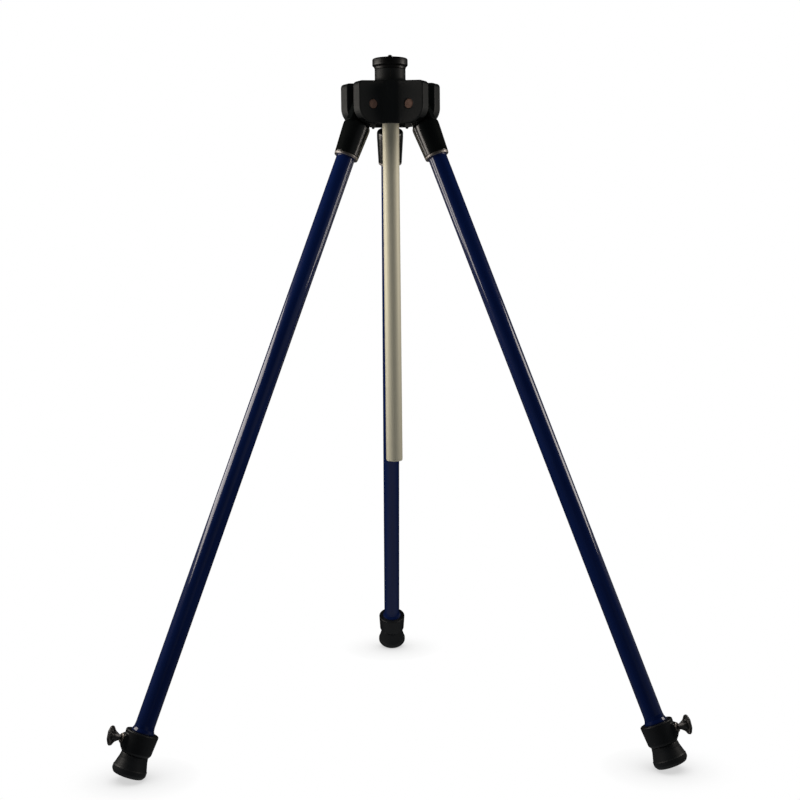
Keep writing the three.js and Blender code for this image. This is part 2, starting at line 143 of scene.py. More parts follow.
def bridge(lower, upper):
    """Faces between two rings of vertex numbers; a ring of one is a pole."""
    faces = []
    count = max(len(lower), len(upper))
    for k in range(count):
        following = (k + 1) % count
        if len(lower) == 1:
            faces.append((lower[0], upper[following], upper[k]))
        elif len(upper) == 1:
            faces.append((lower[k], lower[following], upper[0]))
        else:
            faces.append((lower[k], lower[following], upper[following], upper[k]))
    return faces


def lathe(name, profile, segments=96, closed=False, arc_steps=5):
    """Body turned about +Z from (radius, z, fillet). Its ends are on the axis, or it is closed."""
    outline = rounded(profile + profile[:1], arc_steps)[:-1] if closed \
        else rounded(profile, arc_steps)
    verts, rings = [], []
    for radius, z in outline:
        first = len(verts)
        if radius < 1e-6:
            verts.append((0, 0, z * MM))
        else:
            for k in range(segments):
                angle = 2 * math.pi * k / segments
                verts.append((radius * math.cos(angle) * MM, radius * math.sin(angle) * MM, z * MM))
        rings.append(list(range(first, len(verts))))
    pairs = list(zip(rings, rings[1:]))
    if closed:
        pairs.append((rings[-1], rings[0]))
    faces = [face for lower, upper in pairs for face in bridge(lower, upper)]
    mesh = smooth_mesh(name, verts, faces, sharp_degrees=40)
    # A negative volume means the faces point inwards.
    volume = 0.0
    for face in mesh.polygons:
        corners = [mesh.vertices[i].co for i in face.vertices]
        for second, third in zip(corners[1:], corners[2:]):
            volume += corners[0].dot(second.cross(third))
    if volume < 0:
        mesh.flip_normals()
    return mesh


def stud_mesh(name):
    """Solid threaded stud about +Z with chamfered ends."""
    radius, bottom, top = 3.175, -17.7, 0.0
    pitch, depth, chamfer = 1.27, 0.62, 1.3
    segments, row_height = 48, 0.11
    rows = int((top - bottom) / row_height) + 1
    verts = []
    for i in range(rows + 1):
        z = bottom + (top - bottom) * i / rows
        for k in range(segments):
            turn = k / segments
            phase = ((z - bottom) / pitch - turn) % 1.0
            # A triangle wave, clipped to flat crests and roots.
            crest = min(1.0, max(0.0, 1.35 * abs(2 * phase - 1) - 0.18))
            chamfered = radius - chamfer + min(z - bottom, top - z)
            local = min(radius - depth * (1 - crest), chamfered)
            angle = 2 * math.pi * turn
            verts.append((local * math.cos(angle) * MM, local * math.sin(angle) * MM, z * MM))
    rings = [range(i * segments, (i + 1) * segments) for i in range(rows + 1)]
    faces = [face for lower, upper in zip(rings, rings[1:]) for face in bridge(lower, upper)]
    faces += bridge([len(verts)], rings[0])
    faces += bridge(rings[-1], [len(verts) + 1])
    verts += [(0, 0, bottom * MM), (0, 0, top * MM)]
    return smooth_mesh(name, verts, faces, sharp_degrees=30)


# ------------------------------------------------------------------ distance fields, in mm
# A field is negative inside the solid and grows outwards.
def smooth_min(first, second, blend):
    overlap = np.maximum(blend - np.abs(first - second), 0) / blend
    return np.minimum(first, second) - overlap * overlap * blend * 0.25


def smooth_max(first, second, blend):
    return -smooth_min(-first, -second, blend)


def cut(body, tool, blend):
    """The body with the tool's volume taken away."""
    return smooth_max(body, -tool, blend)


def slab(z, low, high):
    return np.abs(z - (low + high) / 2) - (high - low) / 2


def polygon(x, y, points):
    """Signed distance to a closed polygon."""
    points = np.asarray(points, float)
    square = np.full(x.shape, 1e18)
    sign = np.ones(x.shape)
    for i, (start_x, start_y) in enumerate(points):
        end_y = points[i - 1][1]
        side_x, side_y = points[i - 1] - points[i]
        from_x, from_y = x - start_x, y - start_y
        along = (from_x * side_x + from_y * side_y) / (side_x * side_x + side_y * side_y)
        along = np.clip(along, 0, 1)
        away_x, away_y = from_x - side_x * along, from_y - side_y * along
        square = np.minimum(square, away_x * away_x + away_y * away_y)
        above, below, left = y >= start_y, y < end_y, side_x * from_y > side_y * from_x
        crossed = (above & below & left) | (~above & ~below & ~left)
        sign = np.where(crossed, -sign, sign)
    return sign * np.sqrt(square)


def rounded_extrude(outline, depth, radius):
    """Solid where both fields are negative, with the edge between them rounded."""
    outline, depth = outline + radius, depth + radius
    outer = np.hypot(np.maximum(outline, 0), np.maximum(depth, 0))
    return np.minimum(np.maximum(outline, depth), 0) + outer - radius


def surface(name, field, low, high, cell):
    """Closed quad mesh of field = 0 (surface nets), drawn on to the surface."""
    low, high = np.array(low, float), np.array(high, float)
    counts = np.ceil((high - low) / cell).astype(int) + 1
    axes = [low[i] + cell * np.arange(counts[i]) for i in range(3)]
    values = field(*np.meshgrid(*axes, indexing="ij"))
    inside = values < 0

    # One vertex in every cell with corners on both sides, at the mean of its edge crossings.
    nx, ny, nz = values.shape
    corners_in = sum(inside[i:nx - 1 + i, j:ny - 1 + j, k:nz - 1 + k].astype(np.int8)
                     for i, j, k in product((0, 1), repeat=3))
    active = (corners_in > 0) & (corners_in < 8)
    cells = np.argwhere(active)
    ids = np.full(active.shape, -1, np.int64)
    ids[active] = np.arange(len(cells))
    total, hits = np.zeros((len(cells), 3)), np.zeros(len(cells))
    for axis, i, j in product(range(3), (0, 1), (0, 1)):
        others = [k for k in range(3) if k != axis]
        start = np.zeros(3, int)
        start[others] = i, j
        end = start.copy()
        end[axis] = 1
        at_start = values[tuple((cells + start).T)]
        at_end = values[tuple((cells + end).T)]
        crossed = (at_start < 0) != (at_end < 0)
        fraction = np.where(crossed, at_start / np.where(crossed, at_start - at_end, 1), 0)
        point = np.zeros((len(cells), 3))
        point[:, axis] = fraction
        point[:, others] = i, j
        total[crossed] += point[crossed]
        hits[crossed] += 1
    verts = low + cell * (cells + total / hits[:, None])

    # One quad round every grid edge that crosses the surface.
    quads = []
    for axis in range(3):
        others = [k for k in range(3) if k != axis]
        lower, upper = [slice(1, -1)] * 3, [slice(1, -1)] * 3
        lower[axis], upper[axis] = slice(0, -1), slice(1, None)
        start_in, end_in = inside[tuple(lower)], inside[tuple(upper)]
        edges = np.argwhere(start_in != end_in)
        keep = start_in[tuple(edges.T)]
        if axis == 1:
            keep = ~keep
        quad = []
        for offset in ((0, 0), (1, 0), (1, 1), (0, 1)):
            neighbour = edges.copy()
            neighbour[:, others] += offset
            quad.append(ids[tuple(neighbour.T)])
        quad = np.stack(quad, 1)
        quad[~keep] = quad[~keep][:, ::-1]
        quads.append(quad)
    quads = np.concatenate(quads).astype(np.int32)

    # Two Newton steps, each held to 0.3 of a cell.
    probe = 0.02
    for _ in range(2):
        value = field(*verts.T)
        gradient = np.stack([field(*(verts + shift).T) - field(*(verts - shift).T)
                             for shift in probe * np.eye(3)], 1) / (2 * probe)
        square = (gradient * gradient).sum(1)
        step = gradient * (value / np.maximum(square, 0.25))[:, None]
        length = np.linalg.norm(step, axis=1)
        step *= np.minimum(1, 0.3 * cell / np.maximum(length, 1e-9))[:, None]
        verts = verts - step

    mesh = bpy.data.meshes.new(name)
    mesh.vertices.add(len(verts))
    mesh.vertices.foreach_set("co", (verts * MM).astype(np.float32).ravel())
    mesh.loops.add(quads.size)
    mesh.loops.foreach_set("vertex_index", quads.ravel())
    mesh.polygons.add(len(quads))
    mesh.polygons.foreach_set("loop_start", np.arange(0, quads.size, 4, dtype=np.int32))
    mesh.update(calc_edges=True)
    mesh.validate()
    mesh.shade_smooth()
    return mesh


# ------------------------------------------------------------------ shader nodes
class Nodes:
    """Builds the node tree of a material or world. Inputs take a socket or a value."""

    def __init__(self, owner):
        owner.use_nodes = True
        self.tree = owner.node_tree
        self.tree.nodes.clear()

    def node(self, kind, inputs=None, **settings):
        node = self.tree.nodes.new(kind)
        for key, value in settings.items():
            setattr(node, key, value)
        for key, value in (inputs or {}).items():
            self.feed(node.inputs[key], value)
        return node

    def feed(self, socket, value):
        if isinstance(value, bpy.types.NodeSocket):
            self.tree.links.new(value, socket)
        elif socket.type == "RGBA":
            socket.default_value = (*value, 1.0)
        else:
            socket.default_value = value

    def math(self, operation, *operands, **settings):
        inputs = dict(enumerate(operands))
        return self.node("ShaderNodeMath", inputs, operation=operation, **settings).outputs[0]

    def times(self, value, gain):
        return self.math("MULTIPLY", value, gain)

    def plus(self, value, other):
        return self.math("ADD", value, other)

    def ramp(self, value, span=(0.3, 0.7), to=(0.0, 1.0), shape="LINEAR"):
        inputs = {"From Min": span[0], "From Max": span[1], "To Min": to[0], "To Max": to[1],
                  "Value": value}
        node = self.node("ShaderNodeMapRange", inputs, interpolation_type=shape)
        return node.outputs["Result"]

    def mix(self, factor, first, second):
        # Inputs 6 and 7 and output 2 are the colour ones.
        inputs = {0: factor, 6: first, 7: second}
        return self.node("ShaderNodeMix", inputs, data_type="RGBA").outputs[2]


MATERIALS = {}


class Paint(Nodes):
    """A Principled material in object coordinates."""

    def __init__(self, name):
        self.name = name
        self.material = bpy.data.materials.new(name)
        super().__init__(self.material)
        output = self.node("ShaderNodeOutputMaterial")
        self.shader = self.node("ShaderNodeBsdfPrincipled")
        self.feed(output.inputs["Surface"], self.shader.outputs["BSDF"])
        self.coordinates = self.node("ShaderNodeTexCoord").outputs["Object"]

    def noise(self, scale, detail=3.0, rough=0.55, stretch=None, distort=0.0):
        vector = self.coordinates
        if stretch:
            inputs = {"Scale": stretch, "Vector": vector}
            vector = self.node("ShaderNodeMapping", inputs).outputs["Vector"]
        inputs = {"Scale": scale, "Detail": detail, "Roughness": rough, "Distortion": distort,
                  "Vector": vector}
        return self.node("ShaderNodeTexNoise", inputs).outputs["Fac"]

    def draw_lines(self):
        """Fine lines along Z."""
        return self.noise(scale=1500.0, detail=3.0, rough=0.6, stretch=(1, 1, 0.006))

    def bump(self, height, strength, distance):
        inputs = {"Strength": strength, "Distance": distance, "Height": height}
        return self.node("ShaderNodeBump", inputs).outputs["Normal"]

    def tint_worn_and_highlit_edges(self, colour, edge_colour, pointed, patch_scale):
        """Edge colour in patches along the edges, full where pointiness reaches `pointed`; it marks
        wear, and on the clamp collars it is a painted edge highlight.
        """
        pointiness = self.node("ShaderNodeNewGeometry").outputs["Pointiness"]
        edge = self.ramp(pointiness, span=(0.52, pointed))
        patches = self.ramp(self.noise(scale=patch_scale, detail=2.0), span=(0.30, 0.60))
        return self.mix(self.times(edge, patches), colour, edge_colour)

    def finish(self, inputs):
        for key, value in inputs.items():
            self.feed(self.shader.inputs[key], value)
        MATERIALS[self.name] = self.material


# ------------------------------------------------------------------ materials
def plastic(name, dark, light, rough, grain_depth, grain=1400.0, wear_and_highlight_colour=(0.022, 0.021, 0.020),
            gloss=0.5, scuffs=0.35):
    """Moulded plastic: cloudy colour, lengthwise scuffs and worn edges; on the clamp collars the
    light edge colour is a painted highlight.
    """
    p = Paint(name)
    cloud = p.noise(scale=28.0, detail=4.0)
    fine = p.noise(scale=grain, detail=2.0, rough=0.5)
    scratch = p.noise(scale=90.0, detail=6.0, rough=0.7, stretch=(1.0, 1.0, 0.12), distort=1.5)
    scuff = p.times(p.ramp(scratch, span=(0.60, 0.72)), gain=scuffs)
    scuff_brightening = 2.1
    colour = p.mix(p.ramp(cloud), dark, light)
    colour = p.mix(scuff, colour, tuple(channel * scuff_brightening for channel in light))
    base_rough = p.ramp(cloud, span=(0.25, 0.75), to=(rough - 0.05, rough + 0.05))
    p.finish({
        "Base Color": p.tint_worn_and_highlit_edges(colour, wear_and_highlight_colour, pointed=0.64, patch_scale=60.0),
        "Roughness": p.plus(base_rough, p.times(scuff, gain=0.18)),
        "Specular IOR Level": gloss,
        "Normal": p.bump(fine, strength=0.20, distance=grain_depth)})


def metal(name, clean, tarnished, rough, wear_and_highlight_colour, tarnish, scale=60.0, metallic=1.0):
    """Metal with tarnish spots, fine grain and worn edges."""
    p = Paint(name)
    spots = p.ramp(p.noise(scale=scale, detail=5.0, rough=0.65), span=(0.40, 0.66))
    colour = p.mix(p.times(spots, gain=tarnish), clean, tarnished)
    grain = p.noise(scale=700.0, detail=3.0, rough=0.6)
    base_rough = p.ramp(grain, to=(rough - 0.02, rough + 0.03))
    p.finish({
        "Base Color": p.tint_worn_and_highlit_edges(colour, wear_and_highlight_colour, pointed=0.66, patch_scale=80.0),
        "Metallic": metallic,
        "Roughness": p.plus(base_rough, p.times(spots, gain=0.12)),
        "Normal": p.bump(grain, strength=0.20, distance=0.00001)})


def navy_tube():
    """Deep navy gloss coat with slight orange peel, dust and lengthwise hair scratches."""
    p = Paint("navy_tube")
    cloud = p.noise(scale=9.0, detail=3.0, rough=0.5, stretch=(6, 6, 1))
    colour = p.mix(p.ramp(cloud), (0.0032, 0.0150, 0.0980), (0.0044, 0.0195, 0.1220))
    dust = p.ramp(p.noise(scale=900.0, detail=3.0, rough=0.6), span=(0.66, 0.74), to=(0.0, 0.25))
    hair = p.noise(scale=260.0, detail=5.0, rough=0.6, stretch=(1, 1, 0.02), distort=0.6)
    hair = p.ramp(hair, span=(0.63, 0.70), to=(0.0, 0.45))
    marks = p.times(p.math("MAXIMUM", dust, hair), gain=0.35)
    peel = p.noise(scale=420.0, detail=1.5, rough=0.4)
    normal = p.bump(peel, strength=0.02, distance=0.000008)
    clean_rough = 0.34
    p.finish({
        "Base Color": p.mix(marks, colour, (0.02, 0.024, 0.05)),
        "Metallic": 0.0,
        "Roughness": p.plus(clean_rough, p.times(hair, gain=0.3)),
        "Coat Weight": 1.0,
        "Coat Roughness": p.ramp(cloud, span=(0.2, 0.8), to=(0.026, 0.040)),
        "Normal": normal,
        "Coat Normal": normal,
        "Specular IOR Level": 0.12})


def column_aluminium():
    """Satin warm anodised tube with lengthwise draw lines and faint rub rings."""
    p = Paint("column_aluminium")
    lines = p.draw_lines()
    broad = p.noise(scale=300.0, detail=2.0, rough=0.5, stretch=(1, 1, 0.004))
    colour = p.mix(p.ramp(broad, span=(0.35, 0.65)), (0.84, 0.800, 0.615), (0.90, 0.860, 0.670))
    rub = p.noise(scale=120.0, detail=5.0, rough=0.7, stretch=(0.6, 0.6, 3.0), distort=0.8)
    rub = p.ramp(rub, span=(0.62, 0.72), to=(0.0, 0.30))
    p.finish({
        "Base Color": p.mix(rub, colour, (0.70, 0.67, 0.55)),
        "Metallic": 0.25,
        "Roughness": p.plus(p.ramp(lines, to=(0.56, 0.64)), p.times(rub, gain=0.15)),
        "Normal": p.bump(lines, strength=0.12, distance=0.00003)})


def inner_tube_aluminium():
    """Bare drawn tube with lengthwise rub marks."""
    p = Paint("inner_tube_aluminium")
    lines = p.draw_lines()
    rub = p.noise(scale=200.0, detail=4.0, rough=0.6, stretch=(1, 1, 0.03))
    rub = p.ramp(rub, span=(0.58, 0.70), to=(0.0, 0.5))
    p.finish({
        "Base Color": p.mix(rub, (0.74, 0.745, 0.75), (0.56, 0.565, 0.57)),
        "Metallic": 1.0,
        "Roughness": p.ramp(lines, to=(0.22, 0.34)),
        "Normal": p.bump(lines, strength=0.10, distance=0.00003)})


def foot_rubber():
    """Dusty black rubber."""
    p = Paint("foot_rubber")
    cloud = p.noise(scale=40.0, detail=5.0, rough=0.6)
    dust = p.ramp(p.noise(scale=130.0, detail=6.0, rough=0.7), span=(0.52, 0.72), to=(0.0, 0.5))
    colour = p.mix(p.ramp(cloud), (0.0160, 0.0184, 0.0220), (0.0210, 0.0240, 0.0280))
    grain = p.noise(scale=1100.0, detail=3.0, rough=0.6)
    p.finish({
        "Base Color": p.mix(p.times(dust, gain=0.30), colour, (0.035, 0.033, 0.030)),
        "Roughness": p.ramp(cloud, to=(0.44, 0.54)),
        "Specular IOR Level": 0.42,
        "Normal": p.bump(grain, strength=0.25, distance=0.00002),
        "Sheen Weight": 0.04,
        "Sheen Roughness": 0.4})


def nylon():
    """Off-white nylon."""
    p = Paint("nylon")
    cloud = p.noise(scale=60.0, detail=4.0)
    grain = p.noise(scale=900.0, detail=2.0)
    p.finish({
        "Base Color": p.mix(p.ramp(cloud), (0.70, 0.69, 0.63), (0.80, 0.79, 0.74)),
        "Roughness": p.ramp(grain, to=(0.42, 0.55)),
        "Normal": p.bump(grain, strength=0.25, distance=0.00005)})


plastic("head_plastic", dark=(0.0118, 0.0136, 0.0146), light=(0.0158, 0.0182, 0.0190),
        rough=0.50, grain_depth=0.00002, gloss=0.21)
plastic("platform_plastic", dark=(0.0030, 0.0032, 0.0034), light=(0.0046, 0.0048, 0.0050),
        rough=0.38, grain_depth=0.000005, grain=1800.0, gloss=0.38)
plastic("knuckle_plastic", dark=(0.0036, 0.0050, 0.0052), light=(0.0056, 0.0072, 0.0074),
        rough=0.22, grain_depth=0.000001, grain=1800.0, scuffs=0.1, gloss=0.6)
# Clamp collars: the light edge colour is a painted highlight along the lip and other sharp edges.
plastic("collar_plastic", dark=(0.0105, 0.0125, 0.0155), light=(0.0140, 0.0165, 0.0195),
        rough=0.42, grain_depth=0.00001, wear_and_highlight_colour=(0.105, 0.088, 0.074))
navy_tube()
column_aluminium()
inner_tube_aluminium()
metal("ferrule_metal", clean=(0.50, 0.465, 0.44), tarnished=(0.38, 0.355, 0.34),
      rough=0.36, wear_and_highlight_colour=(0.62, 0.59, 0.56), tarnish=0.4)
metal("bronze_pin", clean=(0.30, 0.175, 0.13), tarnished=(0.20, 0.125, 0.10),
      rough=0.60, wear_and_highlight_colour=(0.42, 0.26, 0.19), tarnish=0.8, scale=260.0, metallic=0.35)
foot_rubber()
metal("wing_screw_metal", clean=(0.170, 0.165, 0.165), tarnished=(0.110, 0.108, 0.110),
      rough=0.40, wear_and_highlight_colour=(0.34, 0.325, 0.315), tarnish=0.6, scale=90.0)
metal("stud_steel", clean=(0.20, 0.20, 0.205), tarnished=(0.10, 0.10, 0.10),
      rough=0.34, wear_and_highlight_colour=(0.42, 0.41, 0.40), tarnish=0.8, scale=200.0)
metal("insert_metal", clean=(0.46, 0.42, 0.39), tarnished=(0.32, 0.29, 0.27),
      rough=0.42, wear_and_highlight_colour=(0.55, 0.51, 0.47), tarnish=0.6, scale=200.0)
nylon()


# ------------------------------------------------------------------ placing
def place(node, mesh, matrix=Matrix.Identity(4)):
    """A finished piece that stands for one CAD node."""
    piece = bpy.data.objects.new(node + "_skin", mesh)
    bpy.context.scene.collection.objects.link(piece)
    piece.matrix_world = matrix
    if not mesh.materials:
        mesh.materials.append(MATERIALS[SLOT_OF[node]])
    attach(piece, BODY_OF[node])
    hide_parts(node)


def bearing_matrix(side):
    """Origin on the pivot, +X outwards, +Y along the pin, +Z up."""
    pivot = JOINTS[side + "_leg_fold"]["pos_m"]
    turn = Matrix.Rotation(math.radians(LEG_AZIMUTH[side]), 4, "Z")
    return Matrix.Translation(pivot) @ turn


Z_TO_X = Matrix.Rotation(math.pi / 2, 4, "Y")
Z_TO_Y = Matrix.Rotation(-math.pi / 2, 4, "X")

# ------------------------------------------------------------------ head
CLEVIS_SIDE = [   # radial distance, z, fillet
    (-30, HUB_TOP, 0), (27, HUB_TOP, 8.0), (EAR_END, HUB_TOP - 2.1, 5.4),
    (EAR_END, HUB_BOTTOM, 22.0), (-30, HUB_BOTTOM, 0)]


def head_field(x, y, z):
    """Three clevises on a six-sided core with a round neck, hollow underneath."""
    edge = 1.15
    side_view = rounded(CLEVIS_SIDE, arc_steps=10)
    from_axis = np.hypot(x, y)
    body, core_side, planes = None, None, []
    for azimuth in sorted(LEG_AZIMUTH.values()):
        angle = math.radians(azimuth)
        out = x * math.cos(angle) + y * math.sin(angle)
        across = np.abs(-x * math.sin(angle) + y * math.cos(angle))
        planes.append((out, across))
        profile = np.maximum(polygon(out, z, side_view), -out)
        clevis = rounded_extrude(profile, across - EAR_HALF, edge)
        body = clevis if body is None else smooth_min(body, clevis, 0.6)
        # The core is flat halfway between the clevises.
        angle = math.radians(azimuth - 60)
        flat = x * math.cos(angle) + y * math.sin(angle) - CORE_FLAT
        core_side = flat if core_side is None else np.maximum(core_side, flat)
    core_side = np.maximum(core_side, from_axis - 41.0)
    body = smooth_min(body, rounded_extrude(core_side, slab(z, HUB_BOTTOM, HUB_TOP), edge), 0.6)
    neck = rounded_extrude(from_axis - 21.1, slab(z, NECK_BOTTOM, NECK_TOP), 0.25)
    body = smooth_min(body, neck, 6.5)
    # Hollow underside: a round recess, and a pocket in every cheek crossed by two ribs.
    body = cut(body, np.maximum(from_axis - 31.3, z - RECESS_TOP), 0.9)
    for out, across in planes:
        pocket = np.maximum.reduce([24.6 - out, 11.6 - across, across - 22.0, z - RECESS_TOP])
        ribs = np.minimum(np.abs(out - 38.5), np.abs(out - 47.0)) - 0.9
        pocket = cut(pocket, np.maximum(ribs, -(z + 92.9)), 0.8)
        body = cut(body, pocket, 0.9)
    # Knuckle slots, and pin holes with a counterbore 3.2 deep in the outer faces.
    for out, across in planes:
        body = cut(body, np.maximum(across - SLOT_HALF, 24.0 - out), 2.0)
        from_pin = np.hypot(out - PIN_RADIAL, z - PIN_Z)
        body = cut(body, np.maximum(from_pin - PIN_HOLE_R, -out), 0.6)
        counterbore = np.maximum.reduce([from_pin - 6.6, EAR_HALF - 3.2 - across, -out])
        body = cut(body, counterbore, 0.9)
    body = cut(body, from_axis - 14.7, 0.8)
    cos_clamp, sin_clamp = math.cos(COLUMN_CLAMP_AZIMUTH), math.sin(COLUMN_CLAMP_AZIMUTH)
    out = x * cos_clamp + y * sin_clamp
    from_screw = np.hypot(-x * sin_clamp + y * cos_clamp, z - COLUMN_CLAMP_Z)
    return cut(body, np.maximum(from_screw - CLAMP_HOLE_R, 5.0 - out), 0.5)


# Every lathe profile below lists (radius, z, fillet).
UPPER_BUSHING = [
    (BUSHING_BORE_R, -47.0, 0.3), (BUSHING_R, -47.0, 0.3), (BUSHING_R, -20.2, 0.3),
    (11.9, -20.2, 0), (BUSHING_BORE_R, -20.5, 0)]
LOWER_BUSHING = [
    (12.2, -91.1, 0.0), (17.4, -91.1, 0.6), (17.4, -89.6, 0.2), (BUSHING_R, -89.6, 0.1),
    (BUSHING_R, -72.0, 0.2), (BUSHING_BORE_R, -72.0, 0.2), (BUSHING_BORE_R, -90.5, 0.0)]

place("head_casting", surface("head_casting", head_field, low=(-69.3, -55.3, -99.3),
                              high=(69.3, 65.3, -17.3), cell=0.9))
place("column_bushing_upper", lathe("column_bushing_upper", UPPER_BUSHING, closed=True))
place("column_bushing_lower", lathe("column_bushing_lower", LOWER_BUSHING, closed=True))

# ------------------------------------------------------------------ centre column
PLATFORM = [
    (0, -18.0, 0), (3.45, -18.0, 0), (3.45, -5.7, 0), (3.95, -5.22, 0.1),
    # top face with two shallow ring grooves
    (9.0, -5.2, 0.1), (9.3, -5.5, 0.12), (9.9, -5.5, 0.12), (10.2, -5.2, 0.1),
    (18.6, -5.2, 0.1), (18.9, -5.5, 0.12), (19.5, -5.5, 0.12), (19.8, -5.2, 0.1),
    # rim and underside
    (24.2, -5.2, 2.6), (24.2, -14.6, 1.4), (21.9, -16.6, 2.0), (21.1, -19.45, 0.1),
    (12.0, -19.45, 0), (11.6, -19.2, 0), (11.6, -14.3, 0),
    # spigot inside the column
    (9.65, -14.3, 0), (9.65, -36.4, 0.4), (0, -37.0, 0)]
COLUMN = [
    (COLUMN_BORE_R, -556.4, 0.25), (COLUMN_R, -556.4, 0.35),
    (COLUMN_R, -14.6, 0.3), (COLUMN_BORE_R, -14.6, 0.2)]
END_PLUG = [
    (0, -558.5, 0), (5.2, -558.5, 0.1), (5.6, -558.9, 0.1), (10.2, -558.9, 0.7),
    (11.2, -557.6, 0.4), (11.2, -556.5, 0), (9.65, -556.5, 0), (9.65, -544.4, 0.5),
    (0, -544.4, 0)]

place("platform", lathe("platform", PLATFORM, segments=128))
place("instrument_stud", stud_mesh("instrument_stud"))
place("centre_column", lathe("centre_column", COLUMN, segments=128, closed=True))
place("column_end_plug", lathe("column_end_plug", END_PLUG))

# ------------------------------------------------------------------ clamp screws
SCREW_HUB = [     # radius, height above the seat
    (0, 1.2), (3.0, 1.2), (3.7, 2.0), (4.2, 5.0), (5.0, 10.0), (4.7, 12.6), (3.0, 14.4),
    (0, 14.9), (-9, 14.9), (-9, 1.2)]
WING_HALF = [     # height above the seat, z, fillet
    (3.2, -2.6, 2.0), (5.4, -5.0, 4.0), (8.8, -7.6, 5.0), (11.2, -11.9, 2.6),
    (13.9, -12.9, 1.6), (16.0, -11.2, 3.0), (18.1, -5.2, 7.0)]


def wing_screw_mesh(name, tube_radius, face):
    """Wing screw along +X, from the pad on the tube out past the face of its boss."""
    start = tube_radius + PAD_END + PAD_GAP
    seat = face + 1.6
    pitch = 1.0
    hub_outline = [(radius, seat + height) for radius, height in SCREW_HUB]
    half = [(seat + height, z, fillet) for height, z, fillet in WING_HALF]
    mirrored = [(x, -z, fillet) for x, z, fillet in reversed(half)]
    wing_outline = rounded(half + mirrored, arc_steps=6)

    def field(x, y, z):
        radius = np.hypot(y, z)
        hub = polygon(radius, x, hub_outline)
        # The wings thin towards their tips and are dished on both faces.
        half_thickness = 2.45 - 0.05 * np.maximum(np.abs(z) - 3.0, 0)
        edge = polygon(x, z, wing_outline)
        wings = rounded_extrude(edge, np.abs(y) - half_thickness, 1.1)
        wings = cut(wings, np.maximum(edge + 2.7, 1.45 - np.abs(y)), 1.2)
        head = smooth_min(hub, wings, 2.4)
        phase = (x / pitch - np.arctan2(z, y) / (2 * math.pi)) % 1.0
        crest = np.clip(1.4 * np.abs(2 * phase - 1) - 0.2, 0, 1)
        shank = np.maximum(radius - (2.72 + 0.22 * crest), slab(x, start, seat + 2.0))
        shank = np.maximum(shank, radius - 2.4 + (start - x))     # chamfered tip
        return smooth_min(head, shank, 0.3)

    return surface(name, field, low=(start - 1.2, -6.5, -15.6), high=(seat + 20.0, 6.5, 15.6),
                   cell=0.33)


def clamp_insert_mesh(name, start, face):
    """Flanged bush from `start` out to the face."""
    profile = [
        (3.2, start, 0.1), (5.2, start, 0.3), (5.2, face + 0.3, 0.1), (6.3, face + 0.3, 0.2),
        (6.3, face + 1.1, 0.4), (5.7, face + 1.5, 0.2), (3.6, face + 1.5, 0.1),
        (3.2, face + 1.15, 0)]
    return lathe(name, profile, segments=64, closed=True)


def clamp_pad_mesh(name, tube_radius):
    inner, outer = tube_radius + PAD_GAP, tube_radius + PAD_END
    return lathe(name, [(0, inner, 0), (2.8, inner, 0.5), (2.8, outer, 0.4), (0, outer, 0)],
                 segments=48)


column_clamp = (Matrix.Translation((0, 0, COLUMN_CLAMP_Z * MM))
                @ Matrix.Rotation(COLUMN_CLAMP_AZIMUTH, 4, "Z"))
place("column_clamp_insert", clamp_insert_mesh("column_clamp_insert", start=19.0, face=CORE_FLAT),
      column_clamp @ Z_TO_X)
place("column_clamp_pad", clamp_pad_mesh("column_clamp_pad", COLUMN_R), column_clamp @ Z_TO_X)
place("column_wing_screw", wing_screw_mesh("column_wing_screw", COLUMN_R, face=CORE_FLAT),
      column_clamp)

# ------------------------------------------------------------------ legs
# Leg frame: origin on the pivot, +Z up the leg, +Y along the pin, +X outwards and up.
KNUCKLE_BARREL = [
    (-9, -27.4, 0), (18.6, -27.4, 4.2), (18.5, -38.0, 8.0), (16.7, -73.0, 0.5), (-9, -73.0, 0)]
COLLAR = [
    (-9, -876.6, 0), (21.6, -876.6, 1.5), (20.2, -901.9, 1.6), (18.2, -905.0, 0.8),
    (-9, -905.0, 0)]
COLLAR_BOSS = [   # x, z from the clamp screw, fillet
    (12, 6.9, 0), (23.2, 6.9, 3.0), (BOSS_FACE, 4.0, 2.4), (BOSS_FACE, -4.6, 3.0),
    (20.4, -12.4, 4.0), (12, -13.0, 0)]
FERRULE = [
    (SOCKET_R, -76.5, 0.15), (16.3, -76.5, 0.6), (16.8, -73.3, 0.3), (SOCKET_R, -73.3, 0.1)]
OUTER_TUBE = [
    (TUBE_BORE_R, -897.0, 0.2), (TUBE_R, -897.0, 0.25), (TUBE_R, -876.3, 0.1),
    # swelling above the collar
    (15.3, -876.3, 0.3), (14.9, -874.8, 0.9), (13.3, -871.4, 2.6), (TUBE_R, -866.5, 6.0),
    (TUBE_R, -34.3, 0.25), (TUBE_BORE_R, -34.3, 0.2)]
INNER_TUBE = [
    (INNER_BORE_R, -926.0, 0.2), (INNER_R, -926.0, 0.2),
    (INNER_R, -60.0, 0.2), (INNER_BORE_R, -60.0, 0.2)]
GUIDE_CAP = [
    (0, -72.0, 0), (9.25, -72.0, 0.5), (9.25, -59.8, 0), (11.2, -59.8, 0.3),
    (11.2, -55.8, 0.6), (0, -55.8, 0)]
